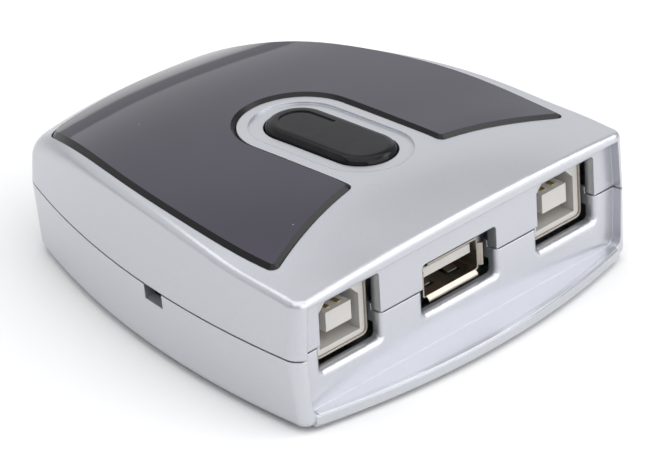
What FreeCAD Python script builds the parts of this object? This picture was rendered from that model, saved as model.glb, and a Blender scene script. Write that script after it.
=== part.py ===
import FreeCAD, Part
import math
import os

from FreeCAD import Vector

# ---------------------------------------------------------------------------
# Driving dimensions, all in millimetres.
# X runs along the row of sockets, Y from the sockets to the rear, Z is up.
# X = 0 is the mirror plane, Y = 0 the middle of the depth, Z = 0 the table.
# ---------------------------------------------------------------------------
WIDTH = 78.2            # across the seam at the widest place, beside the sockets
DEPTH = 87.6            # tip of the front lip to the rear wall
TOP_HEIGHT = 28.8       # table to the crown of the top shell
SEAM_HEIGHT = 13.2      # table to the joint between the shells
FOOT_PROUD = 0.8        # rubber feet below the underside
WALL = 2.0              # shell wall
ROOF = 2.4              # thickness of the top shell under the crown
DRAFT_DEG = 4.0         # both shells narrow away from the seam
SEAM_GAP = 0.3          # shadow line between the shells

# plan shape
LIP_REACH = 6.7         # front lip ahead of the recessed socket face
LIP_RADIUS = 141.0      # bow of the front lip
SIDE_RADIUS = 182.0     # bow of both sides
REAR_RADIUS = 115.0     # bow of the rear wall
REAR_CORNER = 7.0
FRONT_CORNER = 2.8
RIM_REACH = 1.8         # raised frame ahead of the socket face
RIM_WIDTH = 1.9
HOOD_HEIGHT = 1.9       # frame above the socket face
LEDGE_HEIGHT = 2.76     # top of the front lip above the table
LIP_BEAD = 0.25         # raised line along the edge of the lip
LIP_BEAD_WIDTH = 0.8
LIP_HALF_WIDTH = 36.0
RECESS_ROUND = 2.0      # lower corners of the raised frame
FRONT_EDGE_DROP = 4.7   # upper front edge below the crown
TOP_ROUND_FRONT = 1.2   # rounding of the upper edge beside the sockets
TOP_ROUND_SIDE = 2.8    # the same edge two thirds of the way to the rear
TOP_ROUND_REAR = 4.4    # the same edge at the rear corners
ROUND_SPLIT = 55.0      # place of that side rounding, from the socket face
BOTTOM_ROUND = 1.6
LIP_ROUND = 0.5

# sockets
PORT_SPACING = 25.5     # each type B socket from the middle
PORT_SILL_DROP = 0.8    # lower edge of the socket openings below the top of the board
B_OPENING_SIDE = 0.95   # opening beside each type B connector
B_OPENING_HEAD = 0.3    # opening above it
A_OPENING_SIDE = 2.2    # opening beside the type A connector
A_OPENING_HEAD = 1.98   # opening above it
OPENING_CORNER = 0.8
SILL_ROUND = 1.1        # softened outer edge of the lower halves of the openings
PORT_GAP = 0.2          # connector mouths behind the front wall

USB_B_WIDTH = 12.0
USB_B_HEIGHT = 10.9
USB_B_DEPTH = 16.0
USB_B_CAVITY_WIDTH = 9.2
USB_B_CAVITY_HEIGHT = 8.4
USB_B_TONGUE_WIDTH = 5.8
USB_B_TONGUE_HEIGHT = 3.4
USB_B_TONGUE_SETBACK = 0.4
USB_A_WIDTH = 13.1
USB_A_HEIGHT = 5.72
USB_A_DEPTH = 14.0
USB_A_TONGUE_WIDTH = 11.1
USB_A_TONGUE_HEIGHT = 1.84
METAL = 0.3             # connector sheet metal
MOUTH_FLARE = 0.6       # type A mouth bent outwards

# smoked panel
PANEL_HALF_WIDTH = 34.3
PANEL_SIDE_RADIUS = 136.0
PANEL_SIDE_Y = 11.8     # widest place, measured from the socket face
PANEL_ARCH_Y = 13.5     # crown of the front edge, measured from the socket face
PANEL_ARCH_RADIUS = 98.0
PANEL_REAR_MARGIN = 4.9
PANEL_THICKNESS = 1.5
PANEL_PROUD = 0.5
PANEL_BEVEL = 0.8
PANEL_GAP = 0.12
GLUE_GAP = 0.1
NOTCH_MARGIN = 2.0      # shell left between the bezel and the notch of the panel
PANEL_CORNER = 1.2      # rounded front corners of the panel

# button and bezel
BUTTON_FRONT_Y = 20.4   # centres of the two round ends, from the socket face
BUTTON_REAR_Y = 34.8
BUTTON_RADIUS = 5.55
BUTTON_GAP = 0.3
BUTTON_RISE = 1.1       # above the bezel floor
BUTTON_ROUND = 1.5
BUTTON_TRAVEL = 0.5
BEZEL_MARGIN = 2.75     # sunk bezel round the button
BEZEL_STEP = 0.4
FLANGE_WIDTH = 1.2
FLANGE_THICKNESS = 1.0
FLANGE_GAP = 0.6        # flange below the inside of the shell
CAP_WALL = 1.4
STEM_SPAN = 5.0
STEM_WIDTH = 1.4
DISH_DEPTH = 0.2

# circuit board and the parts on it
BOARD_TOP = 9.4
BOARD_THICKNESS = 1.6
BOARD_HALF_WIDTH = 32.3
BOARD_DEPTH = 44.0
BOARD_SETBACK = 2.5     # front edge of the board behind the connector mouths
BOARD_CHAMFER = 9.0
SWITCH_SIZE = 6.0
SWITCH_HEIGHT = 3.6
PLUNGER_RADIUS = 1.75
PLUNGER_RISE = 1.4
STEM_GAP = 0.1
LED_X = 18.0
LED_Y = 30.0
GUIDE_RADIUS = 1.5
GUIDE_GAP = 0.1
PLUNGER_GRIP = 0.8      # part of the plunger inside the switch
PLUNGER_GAP = 0.15
USB_A_LIFT = 0.5        # type A shell above the board
PIN_STICK_OUT = 1.0     # legs below the board
CHIP_X = -13.0
CHIP_Y = 36.0
CHIP_SIZE = 7.0
CRYSTAL_X = 13.0
CRYSTAL_Y = 38.0
CAPACITOR_RADIUS = 2.5
CAPACITOR_HEIGHT = 7.0
CAPACITOR_PLACES = [(-29.0, 25.0), (29.0, 25.0)]
RESISTOR_PLACES = [(-10.0 + 4.0 * i, 20.5) for i in range(6)] + [(20.0, 24.0), (-20.0, 24.0)]

# fasteners and feet
FRONT_SCREW_X = 13.3
FRONT_SCREW_Y = 9.0
REAR_SCREW_X = 19.0
REAR_SCREW_Y = 64.0
BOSS_RADIUS = 3.6
SCREW_RADIUS = 1.25
SCREW_HEAD_RADIUS = 2.4
SCREW_HEAD_HEIGHT = 1.6
SCREW_SEAT = 2.4        # bearing face of the head above the underside
SCREW_LENGTH = 14.0
SCREW_GAP = 0.1
BOARD_SCREW_X = 24.5
BOARD_SCREW_Y = 38.0
BOARD_SCREW_RADIUS = 1.0
FOOT_RADIUS = 4.0
FOOT_POCKET = 0.5
BOARD_POST_RADIUS = 2.6
BOARD_SCREW_LENGTH = 6.0
LABEL_WIDTH = 30.0
LABEL_LENGTH = 20.0
LABEL_Y = 2.0
LABEL_THICKNESS = 0.15
LABEL_POCKET = 0.25
LABEL_GAP = 0.3
TONGUE_HEIGHT = 1.2     # locating rib inside the seam
TONGUE_WIDTH = 0.9
TONGUE_GAP = 0.2
PRY_SLOT_Y = 34.4
PRY_SLOT_LENGTH = 5.0
PRY_SLOT_HEIGHT = 2.6
PRY_SLOT_DEPTH = 3.4

# values that follow from the ones above
HALF_WIDTH = WIDTH / 2
FACE_Y = -DEPTH / 2 + LIP_REACH
REAR_Y = DEPTH / 2
RIM_Y = FACE_Y - RIM_REACH
UNDERSIDE = FOOT_PROUD
DRAFT = math.tan(math.radians(DRAFT_DEG))
BOARD_UNDERSIDE = BOARD_TOP - BOARD_THICKNESS
PIN_FOOT = BOARD_UNDERSIDE - PIN_STICK_OUT
BUTTON_Y = FACE_Y + (BUTTON_FRONT_Y + BUTTON_REAR_Y) / 2
BEZEL_RADIUS = BUTTON_RADIUS + BEZEL_MARGIN
NOTCH_RADIUS = BEZEL_RADIUS + NOTCH_MARGIN
PORT_SETBACK = WALL + PORT_GAP
PORT_SILL = BOARD_TOP - PORT_SILL_DROP
B_OPENING_WIDTH = USB_B_WIDTH + 2 * B_OPENING_SIDE
B_OPENING_TOP = BOARD_TOP + USB_B_HEIGHT + B_OPENING_HEAD
A_OPENING_WIDTH = USB_A_WIDTH + 2 * A_OPENING_SIDE
A_OPENING_TOP = BOARD_TOP + USB_A_LIFT + USB_A_HEIGHT + A_OPENING_HEAD

# Crown of the top shell: distance from the socket face, drop of the middle line below the
# crown, and how far the surface falls 35 mm out from the middle.
CROWN_ROWS = [
    (-9.0, 8.6, 0.0),
    (-RIM_REACH, FRONT_EDGE_DROP, 0.5),
    (3.0, 2.8, 2.0),
    (8.0, 1.2, 3.05),
    (13.0, 0.2, 3.7),
    (20.0, 0.0, 3.25),
    (29.0, 0.05, 2.5),
    (39.0, 0.2, 2.15),
    (49.0, 0.65, 2.0),
    (59.0, 1.7, 1.95),
    (67.0, 3.45, 2.4),
    (74.0, 5.9, 3.2),
    (80.0, 8.7, 4.6),
    (88.0, 13.0, 6.5),
]
CROWN_SPAN = 35.0


def save(name, shape):
    if not shape.isValid():
        raise RuntimeError(name + " is not a valid shape")
    shape.exportStep("parts/" + name + ".step")
    print(name, len(shape.Solids), round(shape.Volume, 2))


def box(x0, x1, y0, y1, z0, z1):
    return Part.makeBox(x1 - x0, y1 - y0, z1 - z0, Vector(x0, y0, z0))


def rod(x, y, z0, z1, radius):
    return Part.makeCylinder(radius, z1 - z0, Vector(x, y, z0))


def join(shapes):
    result = shapes[0].fuse(shapes[1:]) if len(shapes) > 1 else shapes[0]
    return result.removeSplitter()


# ---------------------------------------------------------------------------
# Plan outlines
# ---------------------------------------------------------------------------
def circle_meeting(c0, r0, c1, r1, upper):
    """Meeting point of two circles with X >= 0, the upper or the lower one in Y."""
    dx = c1[0] - c0[0]
    dy = c1[1] - c0[1]
    gap = math.hypot(dx, dy)
    along = (r0 * r0 - r1 * r1 + gap * gap) / (2 * gap)
    across = math.sqrt(r0 * r0 - along * along)
    mid = (c0[0] + along * dx / gap, c0[1] + along * dy / gap)
    points = []
    for sign in (1, -1):
        points.append((mid[0] - sign * across * dy / gap, mid[1] + sign * across * dx / gap))
    points = [p for p in points if p[0] > 0]
    points.sort(key=lambda p: p[1])
    return points[-1] if upper else points[0]


def toward(centre, radius, point):
    """Point on a circle in the direction of another point."""
    dx = point[0] - centre[0]
    dy = point[1] - centre[1]
    length = math.hypot(dx, dy)
    return (centre[0] + radius * dx / length, centre[1] + radius * dy / length)


def arc_edge(centre, radius, start, end, z):
    """Arc about a centre, through the side of the circle nearest both ends."""
    mid = toward(centre, radius, ((start[0] + end[0]) / 2, (start[1] + end[1]) / 2))
    return Part.Arc(Vector(*start, z), Vector(*mid, z), Vector(*end, z)).toShape()


def line_edge(start, end, z):
    return Part.makeLine(Vector(*start, z), Vector(*end, z))


def flip(point):
    return (-point[0], point[1])


def side_circle(inset):
    return (HALF_WIDTH - SIDE_RADIUS, RIM_Y), SIDE_RADIUS - inset


def rear_circle(inset):
    return (0.0, REAR_Y - REAR_RADIUS), REAR_RADIUS - inset


def side_half_width(y, inset=0.0):
    """Half width of the seam outline at a distance y, less an inset."""
    centre, radius = side_circle(inset)
    return centre[0] + math.sqrt(radius ** 2 - (y - centre[1]) ** 2)


def case_outline(inset, front_y, z):
    """Closed outline of the case behind a straight front."""
    side, side_r = side_circle(inset)
    rear, rear_r = rear_circle(inset)
    corner_r = max(REAR_CORNER - inset, 1.0)
    rear_corner = circle_meeting(side, side_r - corner_r, rear, rear_r - corner_r, True)
    rear_a = toward(side, side_r, rear_corner)
    rear_b = toward(rear, rear_r, rear_corner)
    front_r = max(FRONT_CORNER - inset, 0.6)
    centre_y = front_y + front_r
    across = math.sqrt((side_r - front_r) ** 2 - (centre_y - side[1]) ** 2)
    front_corner = (side[0] + across, centre_y)
    front_a = (front_corner[0], front_y)
    front_b = toward(side, side_r, front_corner)
    split = (side_half_width(FACE_Y + ROUND_SPLIT, inset), FACE_Y + ROUND_SPLIT)
    edges = [line_edge(flip(front_a), front_a, z)]
    edges.append(arc_edge(front_corner, front_r, front_a, front_b, z))
    edges.append(arc_edge(side, side_r, front_b, split, z))
    edges.append(arc_edge(side, side_r, split, rear_a, z))
    edges.append(arc_edge(rear_corner, corner_r, rear_a, rear_b, z))
    edges.append(arc_edge(rear, rear_r, rear_b, flip(rear_b), z))
    edges.append(arc_edge(flip(rear_corner), corner_r, flip(rear_b), flip(rear_a), z))
    edges.append(arc_edge(flip(side), side_r, flip(rear_a), flip(split), z))
    edges.append(arc_edge(flip(side), side_r, flip(split), flip(front_b), z))
    edges.append(arc_edge(flip(front_corner), front_r, flip(front_b), flip(front_a), z))
    return Part.Wire(edges)


def case_block(z0, z1, inset, front_y):
    """Block between two heights whose walls lean in, away from the seam, by the draft."""
    wires = []
    for z in (z0, z1):
        lean = DRAFT * abs(z - SEAM_HEIGHT)
        wires.append(case_outline(inset + lean, front_y, z))
    return Part.makeLoft(wires, True, True)


def panel_outline(inset, z):
    """Closed outline of the smoked panel, U-shaped round the bezel."""
    side = (PANEL_HALF_WIDTH - PANEL_SIDE_RADIUS, FACE_Y + PANEL_SIDE_Y)
    side_r = PANEL_SIDE_RADIUS - inset
    rear, rear_r = rear_circle(PANEL_REAR_MARGIN + inset)
    corner_r = max(REAR_CORNER - 1.0 - inset, 1.0)
    rear_corner = circle_meeting(side, side_r - corner_r, rear, rear_r - corner_r, True)
    rear_a = toward(side, side_r, rear_corner)
    rear_b = toward(rear, rear_r, rear_corner)
    arch = (0.0, FACE_Y + PANEL_ARCH_Y - PANEL_ARCH_RADIUS)
    arch_r = PANEL_ARCH_RADIUS + inset
    front = circle_meeting(side, side_r, arch, arch_r, True)
    if front[1] > FACE_Y + PANEL_ARCH_Y:
        front = circle_meeting(side, side_r, arch, arch_r, False)
    notch_r = NOTCH_RADIUS + inset
    notch_y = FACE_Y + BUTTON_REAR_Y
    notch = (notch_r, arch[1] + math.sqrt(arch_r ** 2 - notch_r ** 2))
    notch_end = (notch_r, notch_y)
    edges = []
    edges.append(arc_edge(arch, arch_r, notch, front, z))
    edges.append(arc_edge(side, side_r, front, rear_a, z))
    edges.append(arc_edge(rear_corner, corner_r, rear_a, rear_b, z))
    edges.append(arc_edge(rear, rear_r, rear_b, flip(rear_b), z))
    edges.append(arc_edge(flip(rear_corner), corner_r, flip(rear_b), flip(rear_a), z))
    edges.append(arc_edge(flip(side), side_r, flip(rear_a), flip(front), z))
    edges.append(arc_edge(arch, arch_r, flip(front), flip(notch), z))
    edges.append(line_edge(flip(notch), flip(notch_end), z))
    top = Vector(0, notch_y + notch_r, z)
    edges.append(Part.Arc(Vector(*flip(notch_end), z), top, Vector(*notch_end, z)).toShape())
    edges.append(line_edge(notch_end, notch, z))
    return Part.Wire(edges)


def panel_block(inset):
    """Upright block with the plan shape of the panel and rounded front corners."""
    block = Part.Face(panel_outline(inset, 5.0)).extrude(Vector(0, 0, 40))
    corners = []
    for edge in block.Edges:
        if edge.BoundBox.ZLength > 1 and edge.BoundBox.YMax < FACE_Y + PANEL_ARCH_Y + 0.5:
            corners.append(edge)
    return block.makeFillet(PANEL_CORNER - inset, corners)


def stadium(radius, z0, z1):
    """Upright block with the plan shape of the button."""
    y0 = FACE_Y + BUTTON_FRONT_Y
    y1 = FACE_Y + BUTTON_REAR_Y
    ends = [rod(0, y0, z0, z1, radius), rod(0, y1, z0, z1, radius)]
    return join(ends + [box(-radius, radius, y0, y1, z0, z1)])


# ---------------------------------------------------------------------------
# Crown of the top shell
# ---------------------------------------------------------------------------
def crown_face():
    """Smooth domed surface over the whole case."""
    columns = [-45.0 + 7.5 * i for i in range(13)]
    grid = []
    for reach, drop, fall in CROWN_ROWS:
        row = []
        for x in columns:
            z = TOP_HEIGHT - drop - fall * (x / CROWN_SPAN) ** 2
            row.append(Vector(x, FACE_Y + reach, z))
        grid.append(row)
    surface = Part.BSplineSurface()
    surface.interpolate(grid)
    return surface.toShape()


CROWN = crown_face()


def crown_above(offset):
    """Everything above the crown surface moved up by the offset."""
    face = CROWN.copy()
    face.translate(Vector(0, 0, offset))
    return face.extrude(Vector(0, 0, 60))


def crown_below(offset):
    face = CROWN.copy()
    face.translate(Vector(0, 0, offset))
    return face.extrude(Vector(0, 0, -60))


def crown_height(x, y):
    line = Part.makeLine(Vector(x, y, 0), Vector(x, y, 60))
    return CROWN.distToShape(line)[1][0][0].z


# ---------------------------------------------------------------------------
# Socket openings
# ---------------------------------------------------------------------------
def opening_cutter(x, width, top):
    """Rounded rectangle through the front wall."""
    rear = FACE_Y + WALL + TONGUE_GAP + TONGUE_WIDTH + 0.5
    cutter = box(x - width / 2, x + width / 2, RIM_Y - 5, rear, PORT_SILL, top)
    along = [e for e in cutter.Edges if abs(e.Vertexes[0].Y - e.Vertexes[-1].Y) > 1]
    return cutter.makeFillet(OPENING_CORNER, along)


def opening_cutters():
    return [
        opening_cutter(-PORT_SPACING, B_OPENING_WIDTH, B_OPENING_TOP),
        opening_cutter(PORT_SPACING, B_OPENING_WIDTH, B_OPENING_TOP),
        opening_cutter(0.0, A_OPENING_WIDTH, A_OPENING_TOP),
    ]


def recess_cutter(z0, z1, corner=0.0):
    """Room in front of the socket face, inside the raised frame."""
    wires = []
    for z in (z0, z1):
        half = HALF_WIDTH - RIM_WIDTH - DRAFT * abs(z - SEAM_HEIGHT)
        corners = [(-half, FACE_Y - 20), (half, FACE_Y - 20), (half, FACE_Y), (-half, FACE_Y)]
        points = [Vector(*corner, z) for corner in corners]
        wires.append(Part.makePolygon(points + [points[0]]))
    cutter = Part.makeLoft(wires, True, True)
    if corner == 0.0:
        return cutter
    lower = []
    for edge in cutter.Edges:
        bounds = edge.BoundBox
        if bounds.ZMax < z0 + 0.01 and bounds.YLength > 1:
            lower.append(edge)
    return cutter.makeFillet(corner, lower)


# ---------------------------------------------------------------------------
# Shells
# ---------------------------------------------------------------------------
def screw_places():
    places = []
    for sign in (-1, 1):
        places.append((sign * FRONT_SCREW_X, FACE_Y + FRONT_SCREW_Y))
        places.append((sign * REAR_SCREW_X, FACE_Y + REAR_SCREW_Y))
    return places


def boss_foot(y):
    """Height at which a boss of the top shell ends: on the board in front, on a post behind."""
    return BOARD_TOP if y < FACE_Y + BOARD_DEPTH else SEAM_HEIGHT


def post_top(y):
    return BOARD_UNDERSIDE if y < FACE_Y + BOARD_DEPTH else SEAM_HEIGHT


def upper_edge_radius(y):
    if y < FACE_Y + 3:
        return TOP_ROUND_FRONT
    if y < FACE_Y + ROUND_SPLIT + 3:
        return TOP_ROUND_SIDE
    return TOP_ROUND_REAR


def round_upper_edge(shape):
    """Round the edge where the crown meets the walls, softer toward the rear."""
    document = FreeCAD.newDocument()
    base = document.addObject("Part::Feature", "Base")
    base.Shape = shape
    fillet = document.addObject("Part::Fillet", "Fillet")
    fillet.Base = base
    rows = []
    for index, edge in enumerate(shape.Edges, start=1):
        if edge.BoundBox.ZMin < SEAM_HEIGHT + 2:
            continue
        radii = []
        for parameter in (edge.FirstParameter, edge.LastParameter):
            radii.append(upper_edge_radius(edge.valueAt(parameter).y))
        rows.append((index, radii[0], radii[1]))
    fillet.Edges = rows
    document.recompute()
    result = fillet.Shape.copy()
    FreeCAD.closeDocument(document.Name)
    if result.isNull():
        raise RuntimeError("the upper edge could not be rounded")
    return result


def make_top_shell():
    z0 = SEAM_HEIGHT + SEAM_GAP / 2
    outer = case_block(z0, TOP_HEIGHT + 6, 0.0, RIM_Y).cut(crown_above(0.0))
    outer = round_upper_edge(outer)
    inner = case_block(z0 - 1, TOP_HEIGHT + 6, WALL, FACE_Y + WALL).cut(crown_above(-ROOF))
    shell = outer.cut(inner)
    shell = shell.cut(recess_cutter(z0 - 1, TOP_HEIGHT - FRONT_EDGE_DROP - HOOD_HEIGHT))
    for cutter in opening_cutters():
        shell = shell.cut(cutter)
    pocket = panel_block(-PANEL_GAP).cut(crown_below(PANEL_PROUD - PANEL_THICKNESS - GLUE_GAP))
    shell = shell.cut(pocket)
    shell = shell.cut(stadium(BEZEL_RADIUS, 15, 40).cut(crown_below(-BEZEL_STEP)))
    shell = shell.cut(stadium(BUTTON_RADIUS + BUTTON_GAP, 15, 40))
    bosses = []
    for x, y in screw_places():
        bosses.append(rod(x, y, boss_foot(y), 40, BOSS_RADIUS).cut(crown_above(-WALL)))
    shell = join([shell] + bosses)
    screw_tip = UNDERSIDE + SCREW_SEAT + SCREW_LENGTH
    for x, y in screw_places():
        shell = shell.cut(rod(x, y, boss_foot(y) - 1, screw_tip + 0.6, SCREW_RADIUS + SCREW_GAP))
    for x in (-LED_X, LED_X):
        shell = shell.cut(rod(x, FACE_Y + LED_Y, 15, 40, GUIDE_RADIUS + GUIDE_GAP))
    return shell


def lip_region(inset_front, inset_rear, z0, z1, half):
    """Plate whose front edge is the bow of the lip."""
    wires = []
    for z in (z0, z1):
        lean = DRAFT * abs(z - LEDGE_HEIGHT)
        radius = LIP_RADIUS - inset_front - lean
        centre_y = FACE_Y - LIP_REACH + LIP_RADIUS
        side_y = centre_y - math.sqrt(radius ** 2 - half ** 2)
        bow = Part.Arc(
            Vector(-half, side_y, z),
            Vector(0, centre_y - radius, z),
            Vector(half, side_y, z),
        ).toShape()
        rear_y = FACE_Y + 1.0
        edges = [bow, line_edge((half, side_y), (half, rear_y), z)]
        edges.append(line_edge((half, rear_y), (-half, rear_y), z))
        edges.append(line_edge((-half, rear_y), (-half, side_y), z))
        wires.append(Part.Wire(edges))
    plate = Part.makeLoft(wires, True, True)
    if inset_rear is None:
        return plate
    keep = LIP_RADIUS - inset_rear
    centre_y = FACE_Y - LIP_REACH + LIP_RADIUS
    return plate.cut(rod(0, centre_y, z0 - 1, z1 + 1, keep))


def bottom_lip():
    plate = lip_region(0.0, None, UNDERSIDE, LEDGE_HEIGHT, LIP_HALF_WIDTH)
    lower = []
    for edge in plate.Edges:
        if edge.BoundBox.ZMax < UNDERSIDE + 0.01 and edge.BoundBox.YMax < FACE_Y:
            lower.append(edge)
    return plate.makeFillet(LIP_ROUND, lower)


def lip_bead():
    inner = 0.3 + LIP_BEAD_WIDTH
    top = LEDGE_HEIGHT + LIP_BEAD
    bead = lip_region(0.3, inner, LEDGE_HEIGHT - 0.2, top, LIP_HALF_WIDTH - 0.6)
    return bead.cut(box(-60, 60, FACE_Y - 0.4, FACE_Y + 5, 0, 10))


def soften_sills(shell):
    """Round the outer edges of the lower halves of the socket openings."""
    outer = []
    for edge in shell.Edges:
        bounds = edge.BoundBox
        on_face = abs(bounds.YMin - FACE_Y) < 0.01 and abs(bounds.YMax - FACE_Y) < 0.01
        inside = PORT_SILL - 0.05 < bounds.ZMin and max(abs(bounds.XMin), abs(bounds.XMax)) < 34
        below_seam = bounds.ZMin < SEAM_HEIGHT - 1
        if on_face and inside and below_seam:
            outer.append(edge)
    return shell.makeFillet(SILL_ROUND, outer)


def foot_places():
    """Name and place of each rubber foot."""
    return [
        ("foot_front_left", -27.0, FACE_Y + 9.0),
        ("foot_front_right", 27.0, FACE_Y + 9.0),
        ("foot_rear_left", -12.0, FACE_Y + 71.0),
        ("foot_rear_right", 12.0, FACE_Y + 71.0),
    ]


def make_bottom_shell():
    z1 = SEAM_HEIGHT - SEAM_GAP / 2
    outer = case_block(UNDERSIDE, z1, 0.0, RIM_Y)
    lower = [e for e in outer.Edges if e.BoundBox.ZMax < UNDERSIDE + 0.01]
    outer = outer.makeFillet(BOTTOM_ROUND, lower)
    outer = outer.cut(recess_cutter(LEDGE_HEIGHT, z1 + 1, RECESS_ROUND))
    outer = join([outer, bottom_lip(), lip_bead()])
    inner = case_block(UNDERSIDE + WALL, z1 + 3, WALL, FACE_Y + WALL)
    shell = outer.cut(inner)
    tongue = case_block(z1 - 2.0, z1 + TONGUE_HEIGHT, WALL - 0.3, FACE_Y + WALL - 0.3)
    tongue = tongue.cut(box(-60, 60, -60, 60, z1, z1 + 5))
    ring = case_block(z1 - 2.0, z1 + TONGUE_HEIGHT, WALL + TONGUE_GAP, FACE_Y + WALL + TONGUE_GAP)
    inside = WALL + TONGUE_GAP + TONGUE_WIDTH
    tongue = join([tongue, ring]).cut(case_block(z1 - 3, z1 + 4, inside, FACE_Y + inside))
    shell = join([shell, tongue])
    for cutter in opening_cutters():
        shell = shell.cut(cutter)
    shell = soften_sills(shell)
    posts = []
    for x, y in screw_places():
        posts.append(rod(x, y, UNDERSIDE + 0.5, post_top(y), BOSS_RADIUS))
    for x, y in board_screw_places():
        posts.append(rod(x, y, UNDERSIDE + 0.5, BOARD_UNDERSIDE, BOARD_POST_RADIUS))
    shell = join([shell] + posts)
    for x, y in screw_places():
        shell = shell.cut(rod(x, y, -1, 20, SCREW_RADIUS + SCREW_GAP))
        seat = UNDERSIDE + SCREW_SEAT
        shell = shell.cut(rod(x, y, -1, seat, SCREW_HEAD_RADIUS + 0.3))
    for x, y in board_screw_places():
        tip = BOARD_TOP - BOARD_SCREW_LENGTH
        shell = shell.cut(rod(x, y, tip - 0.4, 20, BOARD_SCREW_RADIUS + SCREW_GAP))
    for _, x, y in foot_places():
        shell = shell.cut(rod(x, y, 0, UNDERSIDE + FOOT_POCKET, FOOT_RADIUS + 0.1))
    shell = shell.cut(label_block(LABEL_GAP, UNDERSIDE - 1, UNDERSIDE + LABEL_POCKET))
    for sign in (-1, 1):
        x = side_half_width(FACE_Y + PRY_SLOT_Y)
        y0 = FACE_Y + PRY_SLOT_Y - PRY_SLOT_LENGTH / 2
        xs = sorted((sign * (x - PRY_SLOT_DEPTH), sign * (x + 4)))
        slot = box(xs[0], xs[1], y0, y0 + PRY_SLOT_LENGTH, z1 - PRY_SLOT_HEIGHT, z1 + 1)
        shell = shell.cut(slot)
    return shell


def board_screw_places():
    return [(sign * BOARD_SCREW_X, FACE_Y + BOARD_SCREW_Y) for sign in (-1, 1)]


def label_block(grow, z0, z1):
    block = box(
        -LABEL_WIDTH / 2 - grow,
        LABEL_WIDTH / 2 + grow,
        LABEL_Y - LABEL_LENGTH / 2 - grow,
        LABEL_Y + LABEL_LENGTH / 2 + grow,
        z0,
        z1,
    )
    upright = [e for e in block.Edges if e.BoundBox.ZLength > 0.01]
    return block.makeFillet(1.0, upright)


def make_smoked_panel():
    panel = panel_block(0.0).cut(crown_above(PANEL_PROUD))
    panel = panel.cut(crown_below(PANEL_PROUD - PANEL_THICKNESS))
    broad = sorted(panel.Faces, key=lambda face: face.Area)[-2:]
    top = max(broad, key=lambda face: face.CenterOfMass.z)
    return panel.makeChamfer(PANEL_BEVEL, top.OuterWire.Edges)


# ---------------------------------------------------------------------------
# Button and switch
# ---------------------------------------------------------------------------
def plunger_top():
    return BOARD_TOP + SWITCH_HEIGHT + PLUNGER_RISE


def make_button_cap():
    flange_top = TOP_HEIGHT - ROOF - FLANGE_GAP
    flange_bottom = flange_top - FLANGE_THICKNESS
    cap = stadium(BUTTON_RADIUS, flange_bottom, 40).cut(crown_above(BUTTON_RISE - BEZEL_STEP))
    rim = [e for e in cap.Edges if e.BoundBox.ZMin > flange_top + 1]
    cap = cap.makeFillet(BUTTON_ROUND, rim)
    dish = stadium(BUTTON_RADIUS - 2.2, 20, 40).cut(crown_below(BUTTON_RISE - BEZEL_STEP - DISH_DEPTH))
    dish = dish.common(box(-20, 20, BUTTON_Y + 2.0, BUTTON_Y + 30, 0, 60))
    cap = cap.cut(dish)
    cap = join([cap, stadium(BUTTON_RADIUS + FLANGE_WIDTH, flange_bottom, flange_top)])
    roof = flange_top + 0.6
    cap = cap.cut(stadium(BUTTON_RADIUS - CAP_WALL, flange_bottom - 1, roof))
    stem_foot = plunger_top() + STEM_GAP
    half = STEM_SPAN / 2
    thick = STEM_WIDTH / 2
    arm = box(-thick, thick, BUTTON_Y - half, BUTTON_Y + half, stem_foot, roof + 0.5)
    cross = box(-half, half, BUTTON_Y - thick, BUTTON_Y + thick, stem_foot, roof + 0.5)
    return join([cap, arm, cross])


def make_switch_body():
    half = SWITCH_SIZE / 2
    top = BOARD_TOP + SWITCH_HEIGHT - METAL
    body = box(-half, half, BUTTON_Y - half, BUTTON_Y + half, BOARD_TOP, top)
    upright = [e for e in body.Edges if e.BoundBox.ZLength > 1]
    body = body.makeFillet(0.5, upright)
    floor = top - PLUNGER_GRIP - BUTTON_TRAVEL - 0.2
    return body.cut(rod(0, BUTTON_Y, floor, top + 1, PLUNGER_RADIUS + PLUNGER_GAP))


def make_switch_cover():
    half = SWITCH_SIZE / 2
    top = BOARD_TOP + SWITCH_HEIGHT
    plate = box(-half, half, BUTTON_Y - half, BUTTON_Y + half, top - METAL, top)
    upright = [e for e in plate.Edges if e.BoundBox.ZLength > 0.1]
    plate = plate.makeFillet(0.5, upright)
    return plate.cut(rod(0, BUTTON_Y, 0, 40, PLUNGER_RADIUS + PLUNGER_GAP))


def make_switch_plunger():
    foot = BOARD_TOP + SWITCH_HEIGHT - METAL - PLUNGER_GRIP
    plunger = rod(0, BUTTON_Y, foot, plunger_top(), PLUNGER_RADIUS)
    rim = [e for e in plunger.Edges if e.BoundBox.ZMin > plunger_top() - 0.01]
    return plunger.makeChamfer(0.2, rim)


def terminal_places():
    half = SWITCH_SIZE / 2
    return [(sx * (half + 0.2), BUTTON_Y + sy * 2.25) for sx in (-1, 1) for sy in (-1, 1)]


def make_switch_terminals():
    pins = []
    for x, y in terminal_places():
        pins.append(box(x - 0.2, x + 0.2, y - 0.4, y + 0.4, PIN_FOOT, BOARD_TOP + 1.2))
    return Part.makeCompound(pins)


# ---------------------------------------------------------------------------
# Sockets
# ---------------------------------------------------------------------------
def mouth_y():
    return FACE_Y + PORT_SETBACK


def lengthwise(shape):
    """Edges that run front to rear."""
    return [e for e in shape.Edges if e.BoundBox.YLength > 3 and e.BoundBox.XLength < 0.01]


def tab_places(x, half, y):
    return [(x + sign * (half - METAL / 2), y) for sign in (-1, 1)]


def usb_b_tabs(x):
    return tab_places(x, USB_B_WIDTH / 2, mouth_y() + 10.8)


def usb_a_tabs():
    return tab_places(0.0, USB_A_WIDTH / 2, mouth_y() + 9.5)


def shell_tabs(places, top):
    tabs = []
    for x, y in places:
        tabs.append(box(x - METAL / 2, x + METAL / 2, y - 1.0, y + 1.0, PIN_FOOT, top))
    return tabs


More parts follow.
